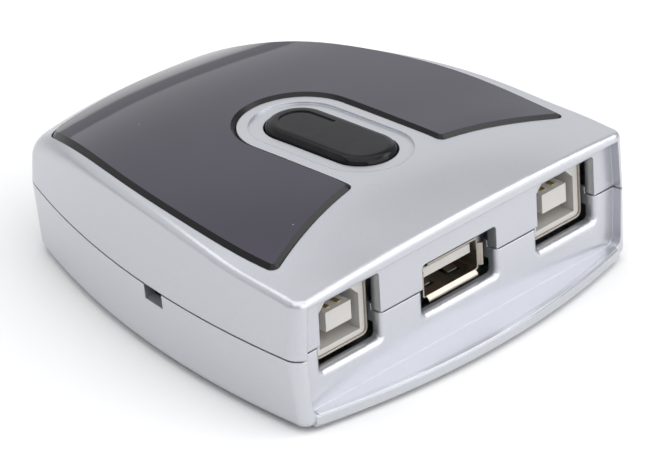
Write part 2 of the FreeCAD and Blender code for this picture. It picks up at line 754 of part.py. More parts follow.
def usb_b_block(x, shrink, y0, y1):
    half = USB_B_WIDTH / 2 - shrink
    z0 = BOARD_TOP + shrink
    block = box(x - half, x + half, y0, y1, z0, BOARD_TOP + USB_B_HEIGHT - shrink)
    return block.makeFillet(1.2 - shrink, lengthwise(block))


def make_usb_b_shell(x):
    y0 = mouth_y()
    outer = usb_b_block(x, 0.0, y0, y0 + USB_B_DEPTH)
    shell = outer.cut(usb_b_block(x, METAL, y0 - 1, y0 + USB_B_DEPTH + 1))
    window = box(x - 4.2, x + 4.2, y0 + 11.4, y0 + 20, BOARD_TOP - 1, BOARD_TOP + 1)
    shell = shell.cut(window)
    return join([shell] + shell_tabs(usb_b_tabs(x), BOARD_TOP + 3))


def usb_b_centre():
    return BOARD_TOP + USB_B_HEIGHT / 2


def usb_b_contact_solids(x):
    """Two contacts above and two below the tongue, each with a leg through the board."""
    y0 = mouth_y()
    zc = usb_b_centre()
    solids = []
    for sx in (-1, 1):
        for sz, leg in ((1, 14.6), (-1, 12.6)):
            cx = x + sx * 1.25
            z = zc + sz * (USB_B_TONGUE_HEIGHT / 2 - 0.05)
            y1 = y0 + leg + 0.3
            strip = box(cx - 0.5, cx + 0.5, y0 + USB_B_TONGUE_SETBACK + 1.0, y1, z - 0.15, z + 0.15)
            post = box(cx - 0.3, cx + 0.3, y1 - 0.6, y1, PIN_FOOT, z + 0.15)
            solids.append(join([strip, post]))
    return solids


def make_usb_b_contacts(x):
    return Part.makeCompound(usb_b_contact_solids(x))


def make_usb_b_insulator(x):
    y0 = mouth_y()
    zc = usb_b_centre()
    front = y0 + 0.35
    block = usb_b_block(x, METAL, front, y0 + 15.6)
    half = USB_B_CAVITY_WIDTH / 2
    high = USB_B_CAVITY_HEIGHT / 2
    cavity = box(x - half, x + half, front - 1, front + 9.0, zc - high, zc + high)
    upper = [e for e in lengthwise(cavity) if e.BoundBox.ZMin > zc]
    cavity = cavity.makeChamfer(2.1, upper)
    wide = USB_B_TONGUE_WIDTH / 2
    tall = USB_B_TONGUE_HEIGHT / 2
    tip = y0 + USB_B_TONGUE_SETBACK
    tongue = box(x - wide, x + wide, tip, front + 9.5, zc - tall, zc + tall)
    block = join([block.cut(cavity), tongue])
    for contact in usb_b_contact_solids(x):
        block = block.cut(contact)
    return block


def usb_a_base():
    return BOARD_TOP + USB_A_LIFT


def mouth_lips():
    """Bent edges round the mouth of the type A shell."""
    y0 = mouth_y()
    z0 = usb_a_base()
    z1 = z0 + USB_A_HEIGHT
    lips = []
    for z, sign in ((z0, -1), (z1, 1)):
        inner = z - sign * METAL
        points = [
            Vector(-5.8, y0, z),
            Vector(-5.8, y0 - MOUTH_FLARE, z + sign * MOUTH_FLARE),
            Vector(-5.8, y0 - MOUTH_FLARE, inner + sign * MOUTH_FLARE),
            Vector(-5.8, y0, inner),
            Vector(-5.8, y0, z),
        ]
        lips.append(Part.Face(Part.makePolygon(points)).extrude(Vector(11.6, 0, 0)))
    zc = (z0 + z1) / 2
    for sign in (-1, 1):
        x = sign * USB_A_WIDTH / 2
        inner = x - sign * METAL
        points = [
            Vector(x, y0, zc - 2.0),
            Vector(x + sign * MOUTH_FLARE, y0 - MOUTH_FLARE, zc - 2.0),
            Vector(inner + sign * MOUTH_FLARE, y0 - MOUTH_FLARE, zc - 2.0),
            Vector(inner, y0, zc - 2.0),
            Vector(x, y0, zc - 2.0),
        ]
        lips.append(Part.Face(Part.makePolygon(points)).extrude(Vector(0, 0, 4.0)))
    return lips


def spring_finger(x):
    """Raised spring tongue of the type A shell and the slot it is cut from."""
    y0 = mouth_y()
    z0 = usb_a_base()
    slot = box(x - 1.5, x + 1.5, y0 + 2.0, y0 + 7.5, z0 - 1, z0 + METAL + 0.1)
    points = [
        Vector(x - 1.1, y0 + 7.6, z0),
        Vector(x - 1.1, y0 + 7.6, z0 + METAL),
        Vector(x - 1.1, y0 + 3.6, z0 + METAL + 0.5),
        Vector(x - 1.1, y0 + 2.6, z0 + METAL + 0.1),
        Vector(x - 1.1, y0 + 2.8, z0 - 0.1),
        Vector(x - 1.1, y0 + 3.6, z0 + 0.5),
        Vector(x - 1.1, y0 + 7.6, z0),
    ]
    finger = Part.Face(Part.makePolygon(points)).extrude(Vector(2.2, 0, 0))
    return slot, finger


def make_usb_a_shell():
    y0 = mouth_y()
    z0 = usb_a_base()
    half = USB_A_WIDTH / 2
    outer = box(-half, half, y0, y0 + USB_A_DEPTH, z0, z0 + USB_A_HEIGHT)
    outer = outer.makeFillet(0.6, lengthwise(outer))
    inner = box(
        -half + METAL,
        half - METAL,
        y0 - 1,
        y0 + USB_A_DEPTH + 1,
        z0 + METAL,
        z0 + USB_A_HEIGHT - METAL,
    )
    inner = inner.makeFillet(0.3, lengthwise(inner))
    shell = outer.cut(inner)
    shell = shell.cut(box(-5.6, 5.6, y0 + 8.6, y0 + 20, z0 - 1, z0 + METAL + 0.1))
    fingers = []
    for x in (-3.2, 3.2):
        slot, finger = spring_finger(x)
        shell = shell.cut(slot)
        fingers.append(finger)
    parts = [shell] + fingers + mouth_lips() + shell_tabs(usb_a_tabs(), BOARD_TOP + 3)
    return join(parts)


def usb_a_contact_solids():
    y0 = mouth_y()
    under = usb_a_base() + USB_A_HEIGHT - METAL - 0.38 - USB_A_TONGUE_HEIGHT
    solids = []
    for cx in (-3.5, -1.0, 1.0, 3.5):
        y1 = y0 + 12.4
        strip = box(cx - 0.5, cx + 0.5, y0 + 1.6, y1, under - 0.1, under + 0.15)
        post = box(cx - 0.3, cx + 0.3, y1 - 0.6, y1, PIN_FOOT, under + 0.15)
        solids.append(join([strip, post]))
    return solids


def make_usb_a_contacts():
    return Part.makeCompound(usb_a_contact_solids())


def make_usb_a_insulator():
    y0 = mouth_y()
    z0 = usb_a_base()
    top = z0 + USB_A_HEIGHT - METAL
    half = USB_A_WIDTH / 2 - METAL
    block = box(-half, half, y0 + 9.0, y0 + 13.6, z0 + METAL, top)
    block = block.makeFillet(0.3, lengthwise(block))
    foot = box(-5.5, 5.5, y0 + 9.0, y0 + 13.6, BOARD_TOP, z0 + METAL + 0.5)
    wide = USB_A_TONGUE_WIDTH / 2
    tongue_top = top - 0.38
    tongue = box(-wide, wide, y0 + 0.8, y0 + 9.5, tongue_top - USB_A_TONGUE_HEIGHT, tongue_top)
    block = join([block, foot, tongue])
    for contact in usb_a_contact_solids():
        block = block.cut(contact)
    return block


# ---------------------------------------------------------------------------
# Circuit board and small parts
# ---------------------------------------------------------------------------
def make_circuit_board():
    y0 = mouth_y() + BOARD_SETBACK
    y1 = FACE_Y + BOARD_DEPTH
    half = BOARD_HALF_WIDTH
    cut = BOARD_CHAMFER
    points = [
        Vector(-half, y0, BOARD_UNDERSIDE),
        Vector(half, y0, BOARD_UNDERSIDE),
        Vector(half, y1 - cut * 1.6, BOARD_UNDERSIDE),
        Vector(half - cut, y1, BOARD_UNDERSIDE),
        Vector(-half + cut, y1, BOARD_UNDERSIDE),
        Vector(-half, y1 - cut * 1.6, BOARD_UNDERSIDE),
        Vector(-half, y0, BOARD_UNDERSIDE),
    ]
    board = Part.Face(Part.makePolygon(points)).extrude(Vector(0, 0, BOARD_THICKNESS))
    holes = []
    for x, y in screw_places():
        if y < y1:
            holes.append(rod(x, y, 0, 20, SCREW_RADIUS + 0.25))
    for x, y in board_screw_places():
        holes.append(rod(x, y, 0, 20, BOARD_SCREW_RADIUS + 0.15))
    for x, y in terminal_places():
        holes.append(rod(x, y, 0, 20, 0.6))
    tabs = usb_b_tabs(-PORT_SPACING) + usb_b_tabs(PORT_SPACING) + usb_a_tabs()
    for x, y in tabs:
        holes.append(box(x - 0.35, x + 0.35, y - 1.15, y + 1.15, 0, 20))
    for x in (-PORT_SPACING, PORT_SPACING):
        for sx in (-1.25, 1.25):
            for leg in (12.6, 14.6):
                holes.append(rod(x + sx, mouth_y() + leg, 0, 20, 0.5))
    for cx in (-3.5, -1.0, 1.0, 3.5):
        holes.append(rod(cx, mouth_y() + 12.1, 0, 20, 0.5))
    for hole in holes:
        board = board.cut(hole)
    return board


def make_led(x):
    y = FACE_Y + LED_Y
    base = box(x - 1.6, x + 1.6, y - 0.8, y + 0.8, BOARD_TOP, BOARD_TOP + 0.6)
    lens = box(x - 1.0, x + 1.0, y - 0.7, y + 0.7, BOARD_TOP + 0.6, BOARD_TOP + 1.1)
    return join([base, lens])


def make_light_guide(x):
    y = FACE_Y + LED_Y
    top = crown_height(x, y)
    post = rod(x, y, BOARD_TOP + 1.5, 40, GUIDE_RADIUS)
    post = post.cut(crown_above(PANEL_PROUD - PANEL_THICKNESS - GLUE_GAP - 0.1))
    collar = rod(x, y, top - ROOF - 2.2, top - ROOF - 1.0, GUIDE_RADIUS + 0.8)
    return join([post, collar])


def make_hub_chip():
    x, y = CHIP_X, FACE_Y + CHIP_Y
    half = CHIP_SIZE / 2
    body = box(x - half, x + half, y - half, y + half, BOARD_TOP + 0.1, BOARD_TOP + 1.2)
    upright = [e for e in body.Edges if e.BoundBox.ZLength > 0.5]
    return body.makeChamfer(0.3, upright)


def make_hub_chip_leads():
    """Gull-wing leads along all four sides."""
    x, y = CHIP_X, FACE_Y + CHIP_Y
    half = CHIP_SIZE / 2
    leads = []
    for index in range(8):
        along = -2.45 + 0.7 * index
        for sign in (-1, 1):
            reach = sorted((sign * half, sign * (half + 0.9)))
            leads.append(lead(x + reach[0], x + reach[1], y + along - 0.12, y + along + 0.12))
            leads.append(lead(x + along - 0.12, x + along + 0.12, y + reach[0], y + reach[1]))
    return Part.makeCompound(leads)


def lead(x0, x1, y0, y1):
    return box(x0, x1, y0, y1, BOARD_TOP, BOARD_TOP + 0.35)


def make_crystal():
    x, y = CRYSTAL_X, FACE_Y + CRYSTAL_Y
    base = box(x - 5.4, x + 5.4, y - 2.3, y + 2.3, BOARD_TOP, BOARD_TOP + 0.5)
    can = box(x - 5.0, x + 5.0, y - 1.9, y + 1.9, BOARD_TOP + 0.5, BOARD_TOP + 3.5)
    corners = [e for e in can.Edges if e.BoundBox.ZLength > 1]
    can = can.makeFillet(1.8, corners)
    corners = [e for e in base.Edges if e.BoundBox.ZLength > 0.4]
    return join([base.makeFillet(2.2, corners), can])


def make_capacitors():
    cans = []
    for x, y in CAPACITOR_PLACES:
        can = rod(x, FACE_Y + y, BOARD_TOP, BOARD_TOP + CAPACITOR_HEIGHT, CAPACITOR_RADIUS)
        rims = [e for e in can.Edges if e.BoundBox.ZLength < 0.01]
        cans.append(can.makeFillet(0.35, rims))
    return Part.makeCompound(cans)


def make_chip_resistors():
    bodies = []
    for x, y in RESISTOR_PLACES:
        y = FACE_Y + y
        bodies.append(box(x - 0.8, x + 0.8, y - 0.4, y + 0.4, BOARD_TOP, BOARD_TOP + 0.45))
    return Part.makeCompound(bodies)


def cross_slot(x, y, z0, z1, reach, width):
    arm = box(x - reach, x + reach, y - width, y + width, z0, z1)
    cross = box(x - width, x + width, y - reach, y + reach, z0, z1)
    return join([arm, cross])


def make_case_screws():
    screws = []
    seat = UNDERSIDE + SCREW_SEAT
    for x, y in screw_places():
        head = rod(x, y, seat - SCREW_HEAD_HEIGHT, seat, SCREW_HEAD_RADIUS)
        rim = [e for e in head.Edges if e.BoundBox.ZMax < seat - SCREW_HEAD_HEIGHT + 0.01]
        head = head.makeFillet(0.6, rim)
        shank = rod(x, y, seat - 0.5, seat + SCREW_LENGTH - 1, SCREW_RADIUS)
        tip = Part.makeCone(SCREW_RADIUS, 0.5, 1.0, Vector(x, y, seat + SCREW_LENGTH - 1))
        screw = join([head, shank, tip])
        bottom = seat - SCREW_HEAD_HEIGHT
        screws.append(screw.cut(cross_slot(x, y, bottom - 1, bottom + 1.0, 1.4, 0.3)))
    return Part.makeCompound(screws)


def make_board_screws():
    screws = []
    for x, y in board_screw_places():
        head = rod(x, y, BOARD_TOP, BOARD_TOP + 1.3, 1.9)
        rim = [e for e in head.Edges if e.BoundBox.ZMin > BOARD_TOP + 1.2]
        head = head.makeFillet(0.5, rim)
        shank = rod(x, y, BOARD_TOP - BOARD_SCREW_LENGTH, BOARD_TOP + 0.5, BOARD_SCREW_RADIUS)
        screw = join([head, shank])
        screws.append(screw.cut(cross_slot(x, y, BOARD_TOP + 0.6, BOARD_TOP + 3, 1.1, 0.25)))
    return Part.makeCompound(screws)


def make_foot(x, y):
    foot = rod(x, y, 0, UNDERSIDE + FOOT_POCKET, FOOT_RADIUS)
    rim = [e for e in foot.Edges if e.BoundBox.ZMax < 0.01]
    return foot.makeFillet(0.4, rim)


def make_rating_label():
    top = UNDERSIDE + LABEL_POCKET
    return label_block(0.0, top - LABEL_THICKNESS, top)


def main():
    os.makedirs("parts", exist_ok=True)
    save("top_shell", make_top_shell())
    save("bottom_shell", make_bottom_shell())
    save("smoked_panel", make_smoked_panel())
    save("button_cap", make_button_cap())
    save("switch_body", make_switch_body())
    save("switch_cover", make_switch_cover())
    save("switch_plunger", make_switch_plunger())
    save("switch_terminals", make_switch_terminals())
    save("circuit_board", make_circuit_board())
    for side, x in (("left", -PORT_SPACING), ("right", PORT_SPACING)):
        save("usb_b_" + side + "_shell", make_usb_b_shell(x))
        save("usb_b_" + side + "_insulator", make_usb_b_insulator(x))
        save("usb_b_" + side + "_contacts", make_usb_b_contacts(x))
    save("usb_a_shell", make_usb_a_shell())
    save("usb_a_insulator", make_usb_a_insulator())
    save("usb_a_contacts", make_usb_a_contacts())
    for side, x in (("left", -LED_X), ("right", LED_X)):
        save("led_" + side, make_led(x))
        save("light_guide_" + side, make_light_guide(x))
    save("hub_chip", make_hub_chip())
    save("hub_chip_leads", make_hub_chip_leads())
    save("crystal", make_crystal())
    save("capacitors", make_capacitors())
    save("chip_resistors", make_chip_resistors())
    save("case_screws", make_case_screws())
    save("board_screws", make_board_screws())
    for name, x, y in foot_places():
        save(name, make_foot(x, y))
    save("rating_label", make_rating_label())


main()
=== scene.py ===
"""Looks of a two-computer USB sharing switch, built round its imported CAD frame."""

import math

import bmesh
import bpy
from bpy.props import FloatProperty, FloatVectorProperty, PointerProperty
from mathutils import Matrix, Vector


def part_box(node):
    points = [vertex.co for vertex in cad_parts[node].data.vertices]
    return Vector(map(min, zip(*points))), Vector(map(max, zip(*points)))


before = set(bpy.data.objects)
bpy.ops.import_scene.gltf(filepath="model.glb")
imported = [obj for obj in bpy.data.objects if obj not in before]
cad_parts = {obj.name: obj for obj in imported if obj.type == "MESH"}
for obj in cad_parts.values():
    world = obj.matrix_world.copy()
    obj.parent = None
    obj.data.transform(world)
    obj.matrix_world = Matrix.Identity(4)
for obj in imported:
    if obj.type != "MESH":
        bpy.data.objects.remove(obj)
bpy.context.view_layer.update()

bl_info = {
    "name": "USB Sharing Switch",
    "version": (1, 0, 0),
    "blender": (4, 5, 0),
    "location": "3D View > Sidebar > Switch",
    "description": "Finishes, printed marks and studio for the sharing switch",
    "category": "Object",
}

MM = 0.001
FLOOR_HALF_WIDTH = 4.0
LIGHT_TARGET = Vector((0.0, 0.0, 0.02))
LIGHT_DISTANCE = 0.9    # from the target to each light

# Soft lights: direction from the target, width, height and brightness.
LIGHTS = {
    "rear_light": ((0.14, 0.80, 0.55), 3.4, 0.9, 0.50),
    "top_light": ((-0.15, -0.1, 1.0), 1.4, 1.4, 1.5),
    "left_light": ((-1.0, -0.35, 0.30), 0.8, 0.35, 0.4),
    "front_light": ((0.15, -1.0, 0.40), 1.3, 0.7, 2.0),
    "front_right_light": ((0.66, -0.50, 0.60), 0.40, 0.40, 3.0),
}


# ---------------------------------------------------------------------------
# Shader maths
# ---------------------------------------------------------------------------
class Signal:
    """A shader socket that can be used in an expression."""

    def __init__(self, finish, socket):
        self.finish = finish
        self.socket = socket

    def math(self, operation, first, second):
        return self.finish.add("ShaderNodeMath", {"operation": operation}, {0: first, 1: second})

    def __add__(self, other):
        return self.math("ADD", self, other)

    def __radd__(self, other):
        return self.math("ADD", other, self)

    def __sub__(self, other):
        return self.math("SUBTRACT", self, other)

    def __rsub__(self, other):
        return self.math("SUBTRACT", other, self)

    def __mul__(self, other):
        return self.math("MULTIPLY", self, other)

    def __rmul__(self, other):
        return self.math("MULTIPLY", other, self)

    def __abs__(self):
        return self.finish.add("ShaderNodeMath", {"operation": "ABSOLUTE"}, {0: self})


class Finish:
    """One material, its nodes and the constants of its surface."""

    def __init__(self, name, colour, roughness, metallic=0.0, **constants):
        self.material = bpy.data.materials.new(name)
        self.material.use_nodes = True
        self.tree = self.material.node_tree
        self.surface = self.tree.nodes["Principled BSDF"]
        self.colour = (*colour, 1.0)
        self.surface.inputs["Base Color"].default_value = self.colour
        self.surface.inputs["Roughness"].default_value = roughness
        self.surface.inputs["Metallic"].default_value = metallic
        for socket, value in constants.items():
            self.surface.inputs[socket.replace("_", " ")].default_value = value
        self.place = self.add("ShaderNodeTexCoord", output="Object")

    def add(self, kind, settings=None, inputs=None, output=0):
        """Add a node: its settings first, then the values or links of its sockets."""
        node = self.tree.nodes.new(kind)
        for name, value in (settings or {}).items():
            setattr(node, name, value)
        for name, value in (inputs or {}).items():
            if isinstance(value, Signal):
                self.tree.links.new(value.socket, node.inputs[name])
            else:
                node.inputs[name].default_value = value
        return Signal(self, node.outputs[output])

    def feed(self, socket, signal):
        """Let a signal drive one socket of the surface."""
        self.tree.links.new(signal.socket, self.surface.inputs[socket])

    def noise(self, size, detail=2.0, place=None):
        """Noise with features of about the given size, in metres, between 0 and 1."""
        inputs = {"Vector": place or self.place, "Scale": 1.0 / size, "Detail": detail}
        return self.add("ShaderNodeTexNoise", {}, inputs)

    def cells(self, size):
        """A flat random value in each cell of the given size."""
        inputs = {"Vector": self.place, "Scale": 1.0 / size}
        colour = self.add("ShaderNodeTexVoronoi", {}, inputs, "Color")
        return self.add("ShaderNodeSeparateColor", {}, {0: colour})

    def spots(self, size, share):
        """Scattered round spots: 1 inside a spot, 0 outside."""
        inputs = {"Vector": self.place, "Scale": 1.0 / size, "Randomness": 1.0}
        distance = self.add("ShaderNodeTexVoronoi", {}, inputs, "Distance")
        return self.between(distance, share, share * 0.5)

    def between(self, signal, low, high):
        """Smooth step from 0 at low to 1 at high."""
        settings = {"interpolation_type": "SMOOTHSTEP"}
        inputs = {"Value": signal, "From Min": low, "From Max": high}
        return self.add("ShaderNodeMapRange", settings, inputs)

    def axis(self, index):
        """One coordinate of the place on the object, in metres."""
        return self.add("ShaderNodeSeparateXYZ", {}, {0: self.place}, index)

    def fold(self, signal, width):
        """The signal folded back and forth between 0 and the width."""
        return self.add("ShaderNodeMath", {"operation": "PINGPONG"}, {0: signal, 1: width})

    def larger(self, first, second):
        """The larger of two signals."""
        return self.add("ShaderNodeMath", {"operation": "MAXIMUM"}, {0: first, 1: second})

    def stretch(self, x, y, z):
        """The place, scaled along each axis."""
        inputs = {0: self.place, 1: (x, y, z)}
        return self.add("ShaderNodeVectorMath", {"operation": "MULTIPLY"}, inputs)

    def mix(self, share, first, second):
        """Colour between two colours."""
        settings = {"data_type": "RGBA"}
        return self.add("ShaderNodeMix", settings, {0: share, 6: first, 7: second}, 2)

    def tint(self, low, high, signal):
        """The material's own colour, darkened to low and lightened to high by a signal."""
        dark = tuple(c * low for c in self.colour[:3]) + (1.0,)
        light = tuple(min(c * high, 1.0) for c in self.colour[:3]) + (1.0,)
        return self.mix(signal, dark, light)

    def soft_edges(self, radius):
        """Normal that rounds every edge of the solid by the radius."""
        return self.add("ShaderNodeBevel", {"samples": 6}, {"Radius": radius})

    def edges(self, radius):
        """1 along outer and inner edges, 0 on open surfaces."""
        rounded = self.soft_edges(radius)
        true = self.add("ShaderNodeNewGeometry", output="Normal")
        settings = {"operation": "DOT_PRODUCT"}
        same = self.add("ShaderNodeVectorMath", settings, {0: rounded, 1: true}, "Value")
        return self.between(same, 0.995, 0.85)

    def bump(self, height, depth, strength=1.0, normal=None):
        """Normal of a surface that rises by the depth where the height signal is 1."""
        inputs = {"Height": height, "Distance": depth, "Strength": strength}
        if normal is not None:
            inputs["Normal"] = normal
        return self.add("ShaderNodeBump", {}, inputs)


def cover(names, finish):
    """Give the CAD nodes this finish as their only material."""
    for name in names:
        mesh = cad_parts[name].data
        mesh.materials.clear()
        mesh.materials.append(finish.material)


def ratio(name, description, value):
    """Property between 0 and 1."""
    return FloatProperty(name=name, description=description, default=value, min=0.0, max=1.0)


def colour_of(name, description, value):
    """Property for a linear colour."""
    return FloatVectorProperty(
        name=name, description=description, default=value, size=3, min=0.0, max=1.0, subtype="COLOR"
    )


def length_of(name, description, value):
    """Property for a length, in metres."""
    return FloatProperty(name=name, description=description, default=value, min=0.0, unit="LENGTH")


def angle_of(name, description, degrees):
    """Property for an angle, with its default in degrees."""
    angle = math.radians(degrees)
    return FloatProperty(name=name, description=description, default=angle, unit="ROTATION")


# ---------------------------------------------------------------------------
# Sizes and colours a user would change
# ---------------------------------------------------------------------------
class SwitchCase(bpy.types.PropertyGroup):
    """Metallic paint of both shells."""

    paint: colour_of("Paint", "Silver paint of the shells", (0.50, 0.51, 0.545))
    # The lower shell's paint is set lighter than the top's: painted light that makes up for the lower
    # shell getting less light.
    lower_paint_painted_lighter: colour_of("Lower paint", "Paint of the lower shell", (0.53, 0.54, 0.575))
    roughness: ratio("Roughness", "Roughness of the paint", 0.30)
    flake: length_of("Flake", "Size of one metal flake", 0.22 * MM)
    edge_round: length_of("Edge", "Softening of the moulded edges", 0.25 * MM)


class SwitchPanel(bpy.types.PropertyGroup):
    """Smoked plastic panel on the top."""

    smoke: colour_of("Smoke", "Colour of the smoked plastic", (0.042, 0.038, 0.053))
    # The bevel's near-black colour is painted shade, standing in for the dark surroundings the bevel
    # reflects.
    painted_bevel_shade: colour_of("Border", "Dark sloping border", (0.004, 0.004, 0.005))
    roughness: ratio("Roughness", "Roughness of the polished face", 0.05)


class SwitchButton(bpy.types.PropertyGroup):
    """Gloss black button cap."""

    gloss: colour_of("Gloss", "Colour of the cap", (0.006, 0.006, 0.007))
    roughness: ratio("Roughness", "Roughness of the cap", 0.13)


class SwitchSockets(bpy.types.PropertyGroup):
    """Connector metal, plastic and contacts."""

    metal: colour_of("Metal", "Plated steel of the shells", (0.42, 0.375, 0.325))
    plastic: colour_of("Plastic", "White plastic inside the sockets", (0.50, 0.485, 0.46))
    gold: colour_of("Gold", "Plating of the contacts", (0.86, 0.62, 0.28))


class SwitchInside(bpy.types.PropertyGroup):
    """Circuit board, its parts and the lights."""

    mask: colour_of("Solder mask", "Lacquer of the board", (0.010, 0.055, 0.025))
    epoxy: colour_of("Epoxy", "Body of the chips", (0.02, 0.02, 0.022))
    tin: colour_of("Tin", "Plated legs and cans", (0.62, 0.62, 0.60))
    glow: colour_of("Light", "Plastic of the lights", (0.10, 0.42, 0.14))


class SwitchUnderside(bpy.types.PropertyGroup):
    """Feet, screws and blank label."""

    rubber: colour_of("Rubber", "Colour of the feet", (0.035, 0.035, 0.037))
    foil: colour_of("Foil", "Colour of the label", (0.60, 0.61, 0.62))
    zinc: colour_of("Zinc", "Plating of the screws", (0.58, 0.57, 0.55))


class SwitchStudio(bpy.types.PropertyGroup):
    """Floor, lights and camera."""

    floor: colour_of("Floor", "Colour of the floor", (0.80, 0.80, 0.80))
    room: FloatProperty(name="Room", description="Brightness of the room", default=0.42, min=0.0)
    azimuth: angle_of("Azimuth", "Camera direction round the object", -44.874)
    elevation: angle_of("Elevation", "Camera above the horizon", 27.631)
    roll: angle_of("Roll", "Camera tilt", -3.207)
    distance: length_of("Distance", "Camera to aim point", 0.98)
    lens: FloatProperty(name="Lens", description="Focal length in millimetres", default=338.0, min=10.0)
    aim: FloatVectorProperty(
        name="Aim",
        description="Point the camera looks at",
        default=(-9.52 * MM, -16.42 * MM, 17.53 * MM),
        size=3,
        unit="LENGTH",
    )


# ---------------------------------------------------------------------------
# Finishes
# ---------------------------------------------------------------------------
def silver_paint(name, colour, case):
    """Satin silver paint: fine metal flake, faint orange peel and a painted highlight along the edges.
    """
    finish = Finish(name, colour, case.roughness, metallic=0.72, Coat_Roughness=0.12, Coat_IOR=1.45)
    flake = finish.cells(case.flake)
    cloud = finish.noise(14 * MM, 3.0)
    edge = finish.edges(case.edge_round)
    tone = 0.5 * flake + 0.5 * cloud
    painted = finish.tint(0.965, 1.035, tone)
    # Every edge is lightened towards a lighter silver: painted highlight along the edges.
    painted_edge_highlight = tuple(min(c * 1.25, 1.0) for c in colour) + (1.0,)
    finish.feed("Base Color", finish.mix(edge * 0.2, painted, painted_edge_highlight))
    finish.feed("Roughness", case.roughness - 0.03 + 0.01 * flake + 0.04 * cloud)
    finish.feed("Coat Weight", 0.10 + 0.06 * cloud)
    peel = finish.noise(1.4 * MM, 1.0)
    finish.feed("Normal", finish.bump(peel, 0.006 * MM, 0.35, finish.soft_edges(case.edge_round)))
    return finish


def smoked_plastic(panel):
    """Polished smoked plastic with painted shade on its sloping bevel, hairlines and a few specks of
    dust.
    """
    bevel_upright = 0.80    # the bevel's normal points up less than this
    face_upright = 0.84     # and the face's normal more than this
    dust_grey = (0.5, 0.5, 0.5, 1.0)
    finish = Finish("smoked_plastic", panel.smoke, panel.roughness, IOR=1.34)
    normal = finish.add("ShaderNodeNewGeometry", output="Normal")
    upright = finish.add("ShaderNodeSeparateXYZ", {}, {0: normal}, 2)
    flat = finish.between(upright, bevel_upright, face_upright)
    cloud = finish.noise(22 * MM, 2.0)
    tone = finish.tint(0.85, 1.15, cloud)
    # Faces that point up less than the bevel limit take the near-black colour: painted shade on the
    # bevel.
    with_painted_bevel_shade = finish.mix(flat, (*panel.painted_bevel_shade, 1.0), tone)
    dust = finish.spots(7.5 * MM, 0.022)
    finish.feed("Base Color", finish.mix(dust * 0.6, with_painted_bevel_shade, dust_grey))
    hairline = finish.noise(0.35 * MM, 3.0, finish.stretch(1.0, 0.06, 1.0))
    worn = finish.between(hairline, 0.58, 0.75)
    polished = panel.roughness + 0.05 * worn + 0.5 * dust + 0.02 * cloud
    finish.feed("Roughness", polished + 0.25 * (1 - flat))
    finish.feed("Normal", finish.bump(finish.noise(6 * MM, 1.0), 0.012 * MM, 0.4))
    return finish


def button_gloss(button):
    """Gloss black cap with a very fine grain, dulled here and there by fingers."""
    finish = Finish("button_gloss", button.gloss, button.roughness, IOR=1.24, Coat_Roughness=0.05)
    smudge = finish.noise(2.6 * MM, 4.0)
    grain = finish.noise(0.12 * MM, 2.0)
    finish.feed("Base Color", finish.tint(0.7, 1.6, smudge))
    finish.feed("Roughness", button.roughness - 0.06 + 0.16 * smudge)
    finish.feed("Coat Weight", 0.02 + 0.06 * smudge)
    finish.feed("Normal", finish.bump(grain, 0.004 * MM, 0.5, finish.soft_edges(0.2 * MM)))
    return finish


def plated_metal(name, colour, roughness, streak=(1.0, 0.05, 1.0)):
    """Rolled and plated sheet: streaks along the rolling, small stains and a painted highlight along
    every edge.
    """
    painted_edge_glint = (0.78, 0.74, 0.68, 1.0)
    finish = Finish(name, colour, roughness, metallic=1.0)
    streaks = finish.noise(0.16 * MM, 3.0, finish.stretch(*streak))
    stain = finish.noise(1.8 * MM, 3.0)
    edge = finish.edges(0.12 * MM)
    tone = finish.tint(0.55, 1.25, 0.55 * streaks + 0.45 * stain)
    # Every edge is lightened towards a pale metal colour: painted highlight along the edges.
    finish.feed("Base Color", finish.mix(edge * 0.5, tone, painted_edge_glint))
    finish.feed("Roughness", roughness - 0.06 + 0.14 * streaks + 0.06 * stain)
    finish.feed("Normal", finish.bump(streaks, 0.006 * MM, 0.5, finish.soft_edges(0.08 * MM)))
    return finish


def moulded_plastic(name, colour, roughness, grain=0.10 * MM, edge=0.12 * MM):
    """Moulded plastic with a spark-eroded grain and faint flow marks."""
    finish = Finish(name, colour, roughness)
    texture = finish.noise(grain, 3.0)
    flow = finish.noise(3.0 * MM, 2.0)
    finish.feed("Base Color", finish.tint(0.90, 1.06, 0.4 * texture + 0.6 * flow))
    finish.feed("Roughness", roughness - 0.05 + 0.10 * texture)
    finish.feed("Normal", finish.bump(texture, 0.006 * MM, 0.6, finish.soft_edges(edge)))
    return finish


def solder_mask(inside):
    """Green lacquer over copper tracks that stand slightly proud."""
    half_pitch = 0.7 * MM
    sway = 4 * MM
    finish = Finish("solder_mask", inside.mask, 0.28, Coat_Roughness=0.1)
    across = finish.axis(0) + sway * finish.noise(9 * MM, 0.0)
    track = finish.between(finish.fold(across, half_pitch), 0.30 * MM, 0.36 * MM)
    field = finish.between(finish.noise(11 * MM, 0.0, finish.stretch(1.0, 0.3, 1.0)), 0.45, 0.50)
    tracks = track * field
    weave = finish.noise(0.4 * MM, 1.0)
    tone = finish.tint(0.75, 1.0, weave)
    light = tuple(min(c * 1.7 + 0.01, 1.0) for c in inside.mask) + (1.0,)
    finish.feed("Base Color", finish.mix(tracks, tone, light))
    finish.feed("Roughness", 0.24 + 0.10 * weave)
    finish.feed("Coat Weight", 0.4 + 0.2 * weave)
    finish.feed("Normal", finish.bump(tracks, 0.03 * MM, 0.7))
    return finish


def light_plastic(inside):
    """Clear tinted plastic of the lights and their guides."""
    finish = Finish("light_plastic", inside.glow, 0.18, IOR=1.49, Transmission_Weight=0.25)
    cloud = finish.noise(0.8 * MM, 2.0)
    finish.feed("Base Color", finish.tint(0.8, 1.3, cloud))
    finish.feed("Roughness", 0.12 + 0.14 * cloud)
    finish.feed("Normal", finish.bump(cloud, 0.01 * MM, 0.4))
    return finish


